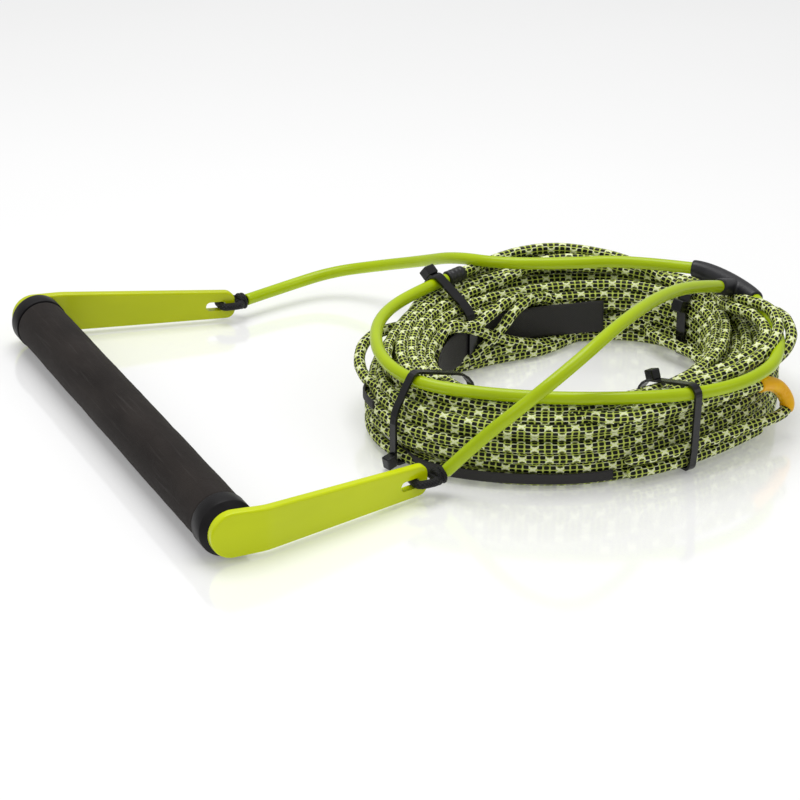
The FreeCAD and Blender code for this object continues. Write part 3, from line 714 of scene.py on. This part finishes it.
# Each turn starts in one place of the bundle's section and moves to the next: (share of the
# width, height). The top and the outer wall are wound first, then the bottom and the middle.
WINDING = [
    (0.28, 39.5), (0.50, 40.0), (0.72, 39.0), (0.93, 34.5), (0.80, 33.5), (0.58, 34.0),
    (0.36, 34.0), (0.14, 35.5), (0.00, 29.0), (0.04, 16.5), (0.00, 22.8), (0.04, 10.2),
    (0.10, 4.2), (0.32, 3.6), (0.55, 3.6), (0.78, 3.6), (0.95, 5.0), (1.00, 11.0),
    (1.00, 17.0), (1.00, 23.0), (1.00, 29.0), (0.78, 27.5), (0.55, 28.0), (0.30, 28.5),
    (0.28, 22.0), (0.50, 22.0), (0.74, 21.5), (0.74, 15.5), (0.50, 16.0), (0.27, 16.0),
    (0.28, 10.0), (0.52, 10.0), (0.76, 9.8),
]
FIRST_BEARING = 24.0
CHANGE_SHARE = 0.28  # the part of a turn in which it moves to its next place
WANDER_EVERY = 5  # stations between the slow drifts of a turn
WANDER_OUT, WANDER_UP = 3.0, 2.4  # mm
NEAREST, HIGHEST = 3.6, 39.8  # mm, from the line's middle to a wall or the floor; its top


def eased(t):
    """A share from 0 to 1 that starts and ends gently."""
    return t * t * (3 - 2 * t)


draw = np.random.default_rng(11)
count = TURNS * STATIONS
bearings = FIRST_BEARING - 360.0 * np.arange(count) / STATIONS
walls = np.array([[coil_wall(0, b), coil_wall(1, b)] for b in bearings])
shares, heights = np.zeros(count), np.zeros(count)
for turn in range(TURNS):
    (share_a, height_a), (share_b, height_b) = WINDING[turn], WINDING[turn + 1]
    change = draw.uniform(0.15, 0.7)
    for step in range(STATIONS):
        t = eased(min(1.0, max(0.0, (step / STATIONS - change) / CHANGE_SHARE)))
        shares[turn * STATIONS + step] = share_a + (share_b - share_a) * t
        heights[turn * STATIONS + step] = height_a + (height_b - height_a) * t
wander = draw.normal(0, 1, (count // WANDER_EVERY + 3, 2))
at = np.arange(count) / WANDER_EVERY
out_drift, up_drift = (np.interp(at, np.arange(len(wander)), wander[:, k]) for k in (0, 1))
low_edge, high_edge = walls[:, 0] + NEAREST, walls[:, 1] - NEAREST
radial = low_edge + shares * (high_edge - low_edge) + WANDER_OUT * out_drift
upright = heights + WANDER_UP * up_drift
section = np.stack([radial, upright], 1)


def held_in(section):
    """Keeps the turns inside the bundle's section, whose two upper corners are round."""
    corner = np.minimum(17.0, (walls[:, 1] - walls[:, 0]) / 2 - 1) - 3.5
    r = np.clip(section[:, 0], low_edge, high_edge)
    z = np.clip(section[:, 1], NEAREST, HIGHEST)
    centre_z = HIGHEST - corner
    for inner in (0, 1):
        centre_r = low_edge + corner if inner else high_edge - corner
        past = ((r < centre_r) if inner else (r > centre_r)) & (z > centre_z)
        away = np.stack([r - centre_r, z - centre_z], 1)
        far = np.linalg.norm(away, axis=1)
        pull = np.where(past & (far > corner), corner / np.maximum(far, 1e-6), 1.0)
        r = centre_r + away[:, 0] * pull
        z = centre_z + away[:, 1] * pull
    return np.stack([r, z], 1)


ROUNDS = 160
PRESSED = 6.5  # mm, the distance that the turns keep
PUSH, SMOOTHING = 0.32, 0.22  # the share of each fault that a round takes away
for _ in range(ROUNDS):
    grid = section.reshape(TURNS, STATIONS, 2)
    apart = grid[:, None] - grid[None]
    far = np.linalg.norm(apart, axis=-1) + 1e-6
    push = np.clip(PRESSED - far, 0, None)
    np.einsum("iis->is", push)[:] = 0
    move = (apart / far[..., None] * push[..., None]).sum(1) * PUSH
    section = section + move.reshape(count, 2)
    for _ in range(2):
        level = np.stack([(section[:, 0] - low_edge) / (high_edge - low_edge), section[:, 1]], 1)
        level[1:-1] += SMOOTHING * ((level[:-2] + level[2:]) / 2 - level[1:-1])
        section = np.stack([low_edge + level[:, 0] * (high_edge - low_edge), level[:, 1]], 1)
    section = held_in(section)

OVERRUN = 1 / 0.9915  # a spline of the second order runs this much inside its points
winding = [on_coil(b, r * OVERRUN, z) for b, (r, z) in zip(bearings, section)]

# Turns that leave the bundle's face: (turn, [(bearing, radius, height), ...]). One has slipped
# out at the left, some climb over the leader, and some sag inside the back of the coil.
STRAYS = [
    (4, [(190, 110, 27), (178, 112, 28), (165, 115, 29.5), (152, 116, 32), (140, 108, 37),
         (128, 103, 39)]),
    (2, [(12, 98, 42), (2, 103, 46), (-6, 106, 50), (-14, 112, 55), (-22, 117.5, 56),
         (-30, 119.5, 54), (-38, 119, 51), (-48, 113, 46), (-60, 108, 41)]),
    (1, [(10, 92, 42), (-2, 97, 45), (-10, 101, 48.5), (-18, 107, 51), (-27, 112, 51),
         (-36, 113.5, 49), (-46, 108, 45), (-58, 103, 41)]),
    (3, [(4, 121, 40), (-8, 123.5, 44), (-16, 124.5, 50), (-24, 125, 51), (-33, 126.5, 48),
         (-42, 127, 42), (-52, 122, 34)]),
    (0, [(86, 98, 40), (74, 102, 45), (61, 106, 50), (50, 105, 47), (41, 103, 42)]),
    (1, [(92, 92, 41), (78, 95, 44), (64, 99.5, 47.5), (52, 98.5, 45), (42, 97, 41)]),
    (3, [(136, 98, 36), (122, 98.5, 39.5), (110, 101, 42), (98, 103.5, 43), (86, 109, 41.5),
         (74, 117, 43), (62, 119.5, 44.5), (50, 117, 43), (41, 113, 39)]),
    (2, [(134, 92, 40), (118, 94, 41), (104, 96, 41.5), (92, 98, 41), (80, 101, 39)]),
    (13, [(126, 69, 4), (112, 68, 4), (98, 66, 4), (80, 65, 4), (64, 70, 4), (50, 82, 4)]),
    (14, [(134, 73, 4), (120, 70, 4), (106, 66, 8), (94, 64, 11), (82, 65, 9), (71, 69, 4.5),
          (60, 76, 4), (48, 86, 4)]),
    (8, [(140, 76, 37), (128, 70, 36), (118, 66.5, 32), (108, 65, 25), (98, 64, 18),
         (88, 64, 14), (78, 66, 8), (72, 71, 4), (65, 82, 4), (58, 91, 4), (44, 98, 4)]),
    (9, [(144, 90, 38), (131, 73, 38), (120, 67, 33), (112, 65, 26), (103, 64.5, 32),
         (92, 68, 37), (82, 76, 38), (64, 96, 38)]),
    (10, [(136, 90, 4), (121, 72, 4), (108, 66, 10), (100, 63, 18), (92, 63.5, 26),
          (84, 68, 34), (76, 76, 37), (58, 96, 38)]),
    (15, [(150, 74, 4), (162, 70, 4), (174, 72, 4)]),
]
JOINED_OVER = 14  # degrees in which a stray leaves the bundle, or comes back
for turn, places in STRAYS:
    places = sorted(places)
    marks = [p[0] for p in places]
    for index in range(turn * STATIONS, (turn + 1) * STATIONS):
        bearing = bearings[index] + 360 * math.ceil((marks[0] - bearings[index]) / 360)
        if not marks[0] <= bearing <= marks[-1]:
            continue
        to_end = min(bearing - marks[0], marks[-1] - bearing)
        joined = eased(min(1.0, to_end / JOINED_OVER))
        target = [np.interp(bearing, marks, [p[k] for p in places]) for k in (1, 2)]
        r, z = section[index] + (np.array(target) - section[index]) * joined
        winding[index] = on_coil(bearing, r * OVERRUN, z)

whip_end = whip_points[-1]
LINE_START = [
    tuple(whip_end - whip_way * 0.004), tuple(whip_end + whip_way * 0.006),
    on_coil(86, 108, 46.8), on_coil(76, 112.5, 49.5), on_coil(64, 115, 51.0),
    on_coil(51, 113, 49.5), on_coil(39, 111, 46.8),
]
last_bearing = (bearings[-1] + 180) % 360 - 180
BOAT_LOOP = [
    on_coil(-104, 104, 38.5), on_coil(-90, 104, 38.5), on_coil(-74, 105, 38.5),
    on_coil(-60, 112, 37.0), on_coil(-46, 121, 34.5), on_coil(-42, 130, 13.5),
    on_coil(-56, 116, 14.6), on_coil(-72, 107, 14.6), on_coil(-88, 107, 14.6),
    on_coil(-101, 106.5, 14.6),
]
inside = [on_coil(b, 92, 11) for b in np.arange(last_bearing - 14, -101, -14)]
doubled_back = [on_coil(-112, 90, 10.5), on_coil(-122, 89, 13), on_coil(-127, 89, 24),
                on_coil(-122, 91, 35.5), on_coil(-113, 97, 38.5)]
route = LINE_START + winding + inside + doubled_back + BOAT_LOOP
line = smooth_line("main line route", route, 10)


def braid_strands(along, turns):
    """The low swell of sixteen strands where they cross."""
    return 0.035 * np.cos(4 * np.pi * turns) * np.cos(4 * np.pi * along) - 0.02


main_line = rope_mesh("main_line", line, LINE_RADIUS, 12, braid_strands, BRAID_PITCH, ends=0.001)


braid = Finish("lime braid", 0.55, Specular_IOR_Level=0.25)
LIME, PALE, INK = (0.60, 0.70, 0.13), (0.90, 0.95, 0.58), (0.004, 0.006, 0.002)
TRACERS, DASH_ROWS, STRANDS = 2.0, 8.0, 8.0  # to each hand; round the line; to each hand
cell = braid.node("SeparateXYZ", {0: braid.node("UVMap", uv_map="braid").outputs[0]})
braid_along, braid_round = cell.outputs[0], cell.outputs[1]


def off_middle(value):
    """How far a value is from the middle between two whole numbers."""
    return braid.maths("ABSOLUTE", braid.maths("SUBTRACT", braid.maths("FRACT", value), 0.5))


def near_helix(hand, times):
    """Distance, in turns, to the nearest of some strands that wind to one hand."""
    wound = braid.maths("MULTIPLY_ADD", braid_along, hand * times,
                        braid.maths("MULTIPLY", braid_round, times))
    return braid.maths("DIVIDE", off_middle(braid.maths("ADD", wound, 0.5)), times)


left, right = near_helix(-1.0, TRACERS), near_helix(1.0, TRACERS)
tracer = braid.span(braid.maths("MINIMUM", left, right), 0.030, 0.042, 1.0, 0.0)
# The dashes have round corners, and keep clear of the places where the tracers run.
row = off_middle(braid.maths("MULTIPLY", braid_round, DASH_ROWS))
step = off_middle(braid.maths("MULTIPLY_ADD", braid_along, DASH_ROWS, 0.5))
dash = braid.maths("ADD", braid.maths("POWER", braid.maths("DIVIDE", row, 0.42), 4.0),
                   braid.maths("POWER", braid.maths("DIVIDE", step, 0.40), 4.0))
clear = braid.span(braid.maths("ADD", left, right), 0.125, 0.140)
inked = braid.maths("MULTIPLY", braid.span(dash, 0.7, 1.1, 1.0, 0.0), clear)
fibre = braid.grain(900.0, 2.0)
lime_tone = braid.blend(braid.span(fibre, 0.35, 0.7), LIME, tuple(0.8 * c for c in LIME))
braid.colour(braid.blend(inked, braid.blend(tracer, lime_tone, PALE), INK))
furrow = braid.maths("MINIMUM", near_helix(-1.0, STRANDS), near_helix(1.0, STRANDS))
height = braid.maths("SUBTRACT", 1.0, braid.maths("MULTIPLY", furrow, 14.0))
braid.relief(braid.maths("MULTIPLY_ADD", fibre, 0.3, height), 0.00035)
main_line.data.materials.append(braid.material)
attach(main_line, "line_set")
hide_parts("main_line_coil", "main_line_top_turn", "boat_loop")


# ---- Boat-loop sleeve ----------------------------------------
# A yellow heat-shrunk sleeve that saves the loop from wear where it goes over the
# boat's tow hook. It is pushed on before the eye is spliced, and shrunk in place.
SLEEVE_WALL = 0.0008
SLEEVE_BEFORE, SLEEVE_AFTER = 0.026, 0.009  # its length on each side of the fold's middle
LOOP_POINTS = 1500  # the line's last points, which hold the loop
whole_length = length_along(line)
fold_middle = (np.array(BOAT_LOOP[4]) + np.array(BOAT_LOOP[5])) / 2
nearest = int(np.argmin(np.linalg.norm(line[-LOOP_POINTS:] - fold_middle, axis=1)))
middle_at = whole_length[len(line) - LOOP_POINTS + nearest]
sleeve_path = points_at(line, np.arange(middle_at - SLEEVE_BEFORE, middle_at + SLEEVE_AFTER,
                                        0.0004))


def shrink_creases(along, turns):
    """Shallow wrinkles on the side that the fold shortens."""
    return (0.018 * np.sin(2 * np.pi * along * 5.3 + 1.7 * np.cos(2 * np.pi * turns))
            * np.clip(np.cos(2 * np.pi * (turns - 0.3)), 0, 1))


boat_sleeve = rope_mesh("amber_sleeve", sleeve_path, LINE_RADIUS + SLEEVE_WALL, 36,
                        shrink_creases, 0.02, ends=0.0006)
shrunk = Finish("amber shrink sleeve", 0.3, Specular_IOR_Level=0.25)
shrunk_clouds = shrunk.grain(120.0, 3.0)
shrunk.colour(shrunk.ramp(shrunk_clouds, (0.3, (0.86, 0.40, 0.0)), (0.7, (0.92, 0.52, 0.001))))
shrunk.gloss(shrunk.span(shrunk_clouds, 0.3, 0.7, 0.24, 0.38))
shrunk.relief(shrunk.grain(420.0, 2.0), 0.00015)
boat_sleeve.data.materials.append(shrunk.material)
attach(boat_sleeve, "line_set")
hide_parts("boat_loop_sleeve")

LOOP_TAIL = [
    on_coil(-49, 115, 6.9), on_coil(-60, 109.5, 6.9), on_coil(-74, 105.5, 6.9),
    on_coil(-88, 106, 6.9), on_coil(-100, 106.3, 6.9),
]
tail_line = smooth_line("loop tail route", LOOP_TAIL, 24)
loop_tail = rope_mesh("spliced_tail", tail_line, LINE_RADIUS, 16, braid_strands, BRAID_PITCH,
                      ends=0.001)
loop_tail.data.materials.append(braid.material)
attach(loop_tail, "line_set")
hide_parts("boat_loop_tail")


# ---- Cable ties ----------------------------------------------
# Moulded black nylon ties, pulled tight round the bundle in four places. Each head
# locks on the band's teeth, and the spare end is cut off at the head.
nylon = Finish("black nylon", 0.2, Specular_IOR_Level=0.4)
nylon_flow = nylon.grain(80.0, 2.0)
nylon.colour(nylon.ramp(nylon_flow, (0.3, (0.003, 0.003, 0.0035)), (0.7, (0.008, 0.008, 0.009))))
nylon.gloss(nylon.span(nylon_flow, 0.3, 0.7, 0.15, 0.28))
nylon.relief(nylon.grain(240.0, 2.0), 0.0001)
for where in ("front_left", "front_right", "back_left", "back_right"):
    wear(f"cable_tie_{where}", nylon)


# ---- Keeper strap --------------------------------------------
# Smooth woven polyester webbing, threaded along the coil's inner wall, under the
# bundle and along its outside, which keeps the turns together while the coil hangs.
STRAP_THICKNESS = 0.0013
WARP, WEFT = 0.0011, 0.0009  # distance from thread to thread
webbing = Finish("black webbing", 0.6, Specular_IOR_Level=0.3)
weave_spot = webbing.node("SeparateXYZ", {0: webbing.node("UVMap", uv_map="weave").outputs[0]})
warp = webbing.maths("SINE", webbing.maths("MULTIPLY", weave_spot.outputs[1], 2 * math.pi / WARP))
weft = webbing.maths("SINE", webbing.maths("MULTIPLY", weave_spot.outputs[0], 2 * math.pi / WEFT))
weave = webbing.maths("MULTIPLY_ADD", webbing.maths("MULTIPLY", warp, weft), 0.5, 0.5)
webbing.colour(webbing.ramp(weave, (0.2, (0.020, 0.019, 0.019)), (0.9, (0.050, 0.047, 0.047))))
webbing.relief(weave, 0.00025)


EDGE_ROWS = 9


def ribbon(name, path, heights, thickness):
    """A web on edge along a path; heights gives its lower and upper edge at each share of it."""
    mesh = bmesh.new()
    weave_layer = mesh.loops.layers.uv.new("weave")
    path = np.array(path, float)
    along = length_along(path)
    ahead = np.gradient(path, axis=0)
    ahead /= np.linalg.norm(ahead, axis=1)[:, None]
    across = np.cross(ahead, (0.0, 0.0, 1.0))
    up = [(1, row / (EDGE_ROWS - 1)) for row in range(EDGE_ROWS)]
    up_and_down = up + [(-1, 1 - share) for _, share in up]
    rings, spots = [], []
    for index, point in enumerate(path):
        low, high = heights(index / (len(path) - 1))
        ring, spot = [], []
        for face, share in up_and_down:
            half = thickness / 2 * (1 - abs(2 * share - 1) ** 10 * 0.55)    # thinner at its edges
            z = low + (high - low) * share
            where = point + across[index] * face * half
            ring.append(mesh.verts.new((where[0], where[1], z)))
            spot.append((along[index], z))
        rings.append(ring)
        spots.append(spot)
    for index in range(len(rings) - 1):
        near, far = rings[index], rings[index + 1]
        for k in range(len(near)):
            face = mesh.faces.new((near[k - 1], near[k], far[k], far[k - 1]))
            for loop, place in zip(face.loops, (spots[index][k - 1], spots[index][k],
                                                spots[index + 1][k], spots[index + 1][k - 1])):
                loop[weave_layer].uv = place
    mesh.faces.new(rings[0])
    mesh.faces.new(rings[-1][::-1])
    return finished(name, mesh)


WALL_GAPS = (-1.25, 0.75)  # mm, from the inner and the outer wall to the web's middle
TUCK, TUCK_OVER = 7.0, 14  # mm and degrees: the outer run comes out from the turns


def along_wall(side, start, end, count):
    """Points along the inner (0) or outer (1) wall, with the slight waves of a slack web."""
    points = []
    for bearing in np.linspace(start, end, count):
        tuck = TUCK * max(0.0, 1 - (bearing - start) / TUCK_OVER) ** 2 if side else 0.0
        wave = 0.25 * math.sin(bearing * 0.21)
        radius = coil_wall(side, bearing) + WALL_GAPS[side] - tuck + wave
        points.append(on_coil(bearing, radius, 0))
    return points


def inner_edges(t):
    """The inner run's edges, a little uneven."""
    return 0.0080 + 0.0006 * math.sin(9 * t), 0.0284 - 0.0006 * math.cos(7 * t)


UNDER_BEARING, UNDER_WIDTH = 188, 0.0205
under_path = [on_coil(UNDER_BEARING, r, 0) for r in
              np.linspace(coil_wall(0, UNDER_BEARING) - 1.2, coil_wall(1, UNDER_BEARING) - 9, 30)]
for name, path, edges, thickness in (
        ("strap_inner", along_wall(0, 46, 180, 120), inner_edges, STRAP_THICKNESS),
        ("strap_outer", along_wall(1, 194, 256, 80), lambda t: (0.0032, 0.0090), STRAP_THICKNESS),
        ("strap_tail", along_wall(1, 165, 185, 30),
         lambda t: (0.0240 + 0.002 * t, 0.0290 + 0.002 * t), STRAP_THICKNESS),
        ("strap_under", under_path, lambda t: (0.0001, 0.0014), UNDER_WIDTH)):
    web = ribbon(name, path, edges, thickness)
    web.data.materials.append(webbing.material)
    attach(web, "line_set")
    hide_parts("keeper_strap")


# ---- Floor, light and camera ---------------------------------
# A glossy white table, a white surround and three soft studio lamps, seen through
# a long lens from above the handle's near end.
floor_mesh = bmesh.new()
bmesh.ops.create_grid(floor_mesh, x_segments=1, y_segments=1, size=6.0)
for corner in floor_mesh.verts:
    corner.co.z = -0.0002
floor = finished("table_top", floor_mesh, smooth=False)
table = Finish("white table", 0.09, Specular_IOR_Level=1.0, Coat_Weight=1.0, Coat_Roughness=0.1,
               Emission_Color=(1.0, 1.0, 1.0, 1.0), Emission_Strength=0.21)
table_haze = table.grain(3.0, 2.0)
table.colour(table.ramp(table_haze, (0.3, (0.88, 0.88, 0.88)), (0.7, (0.90, 0.90, 0.90))))
table.gloss(table.span(table_haze, 0.3, 0.7, 0.08, 0.11))
floor.data.materials.append(table.material)

surround = bpy.data.worlds.new("white surround")
scene.world = surround
surround.use_nodes = True
surround.node_tree.nodes["Background"].inputs["Color"].default_value = (1.0, 1.0, 1.0, 1.0)
surround.node_tree.nodes["Background"].inputs["Strength"].default_value = 0.5


def softbox(name, place, aim, size, power):
    lamp = bpy.data.lights.new(name, "AREA")
    lamp.shape, lamp.size, lamp.energy = "SQUARE", size, power
    made = bpy.data.objects.new(name, lamp)
    made.location = place
    made.rotation_euler = (Vector(aim) - Vector(place)).to_track_quat("-Z", "Y").to_euler()
    scene.collection.objects.link(made)


MIDDLE = (0.11, -0.02, 0.02)
softbox("overhead", (0.15, 0.35, 1.5), MIDDLE, 1.1, 15.0)
softbox("left fill", (-1.1, -0.4, 0.9), MIDDLE, 0.7, 2.0)
softbox("right fill", (0.9, -0.9, 0.9), MIDDLE, 0.7, 1.5)

lens = bpy.data.cameras.new("studio camera")
lens.lens, lens.sensor_width = 117.0, 36.0
camera = bpy.data.objects.new("studio camera", lens)
right, up, back = (0.901, -0.433, 0.0), (0.18, 0.375, 0.91), (-0.394, -0.82, 0.416)
turned = Matrix((right, up, back)).transposed().to_4x4()
turned.translation = Vector((-0.4740, -1.2274, 0.6137))
camera.matrix_world = turned
scene.collection.objects.link(camera)
scene.camera = camera
scene.view_settings.view_transform = "Standard"
